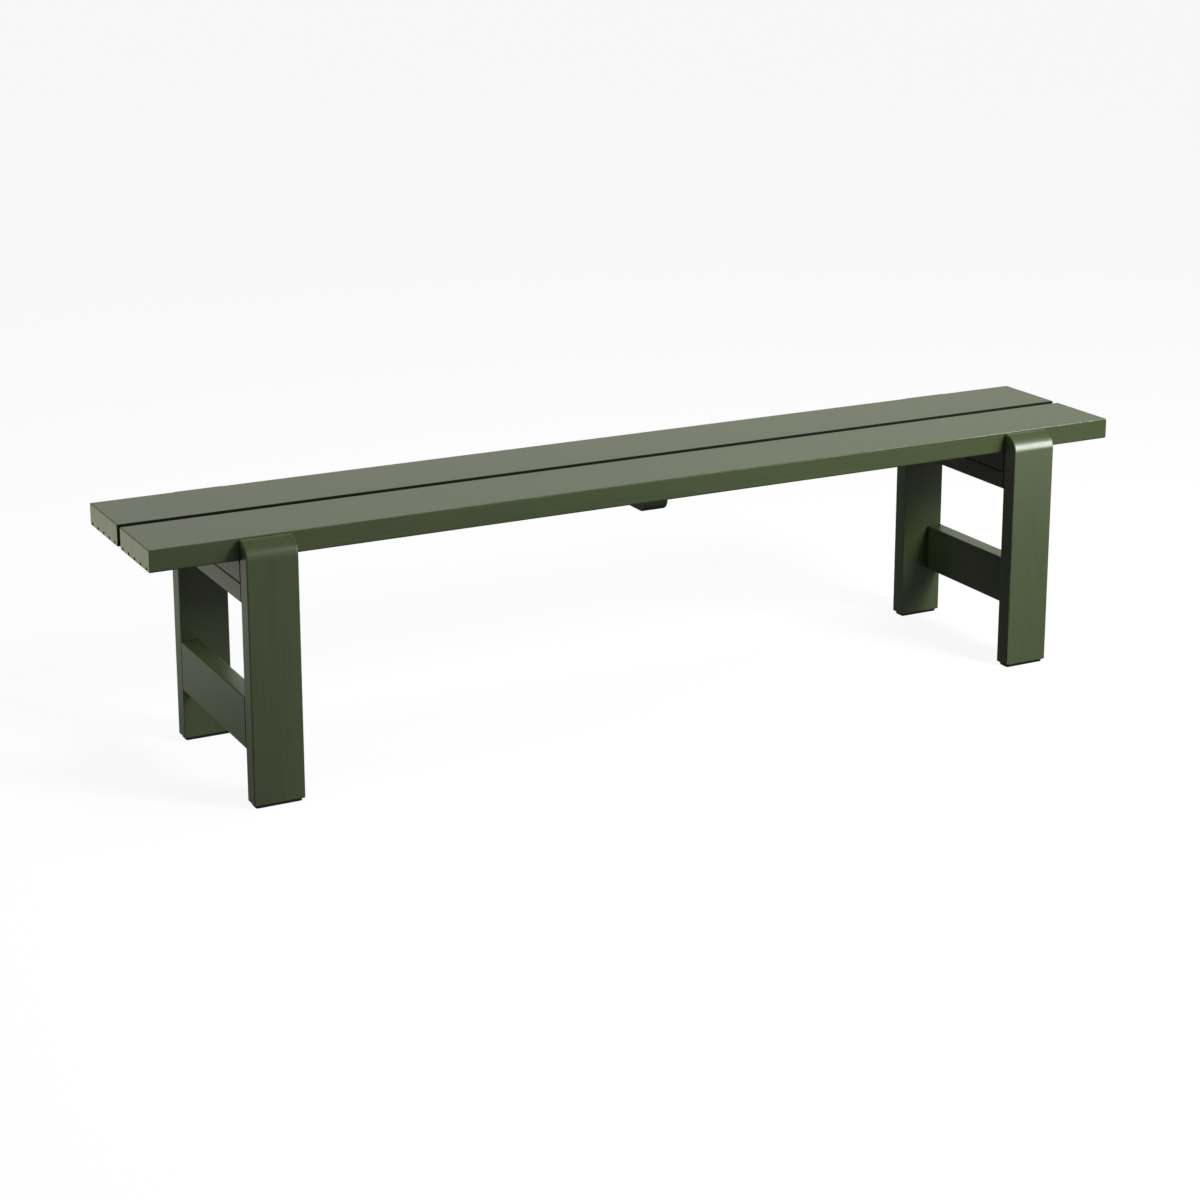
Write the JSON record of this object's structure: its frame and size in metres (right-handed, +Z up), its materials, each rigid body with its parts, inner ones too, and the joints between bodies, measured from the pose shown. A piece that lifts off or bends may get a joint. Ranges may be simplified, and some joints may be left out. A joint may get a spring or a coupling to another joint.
{
  "type": "backless bench",
  "caption": "Backless timber bench with two long seat planks on two leg frames, each with a top rail and a lower stretcher.",
  "frame": {"origin": "on the floor, under the middle of the bench", "axes": "+X along the length of the seat, +Y towards the rear leg of each frame, +Z up"},
  "size_m": [1.9, 0.386, 0.455],
  "materials": {
    "painted_timber": "satin olive green paint over planed softwood, with faint grain showing through",
    "foot_plastic": "moulded black plastic, fine matt texture",
    "beech": "bare turned beech",
    "zinc_plated_steel": "bright zinc plate",
    "insert_brass": "turned brass"
  },
  "bodies": {
    "root": {"seat_plank_front": "painted_timber", "seat_plank_rear": "painted_timber", "left_end_batten": "painted_timber", "right_end_batten": "painted_timber", "centre_batten": "painted_timber", "left_leg_front": "painted_timber", "left_leg_rear": "painted_timber", "right_leg_front": "painted_timber", "right_leg_rear": "painted_timber", "left_top_rail": "painted_timber", "right_top_rail": "painted_timber", "left_stretcher": "painted_timber", "right_stretcher": "painted_timber", "left_foot_front": "foot_plastic", "left_foot_rear": "foot_plastic", "right_foot_front": "foot_plastic", "right_foot_rear": "foot_plastic", "left_rail_dowels": "beech", "right_rail_dowels": "beech", "left_stretcher_dowels": "beech", "right_stretcher_dowels": "beech", "left_frame_bolts": "zinc_plated_steel", "right_frame_bolts": "zinc_plated_steel", "left_bolt_washers": "zinc_plated_steel", "right_bolt_washers": "zinc_plated_steel", "left_batten_screws": "zinc_plated_steel", "right_batten_screws": "zinc_plated_steel", "centre_batten_screws": "zinc_plated_steel", "left_foot_screws": "zinc_plated_steel", "right_foot_screws": "zinc_plated_steel", "left_threaded_inserts": "insert_brass", "right_threaded_inserts": "insert_brass"}
  },
  "joints": []
}
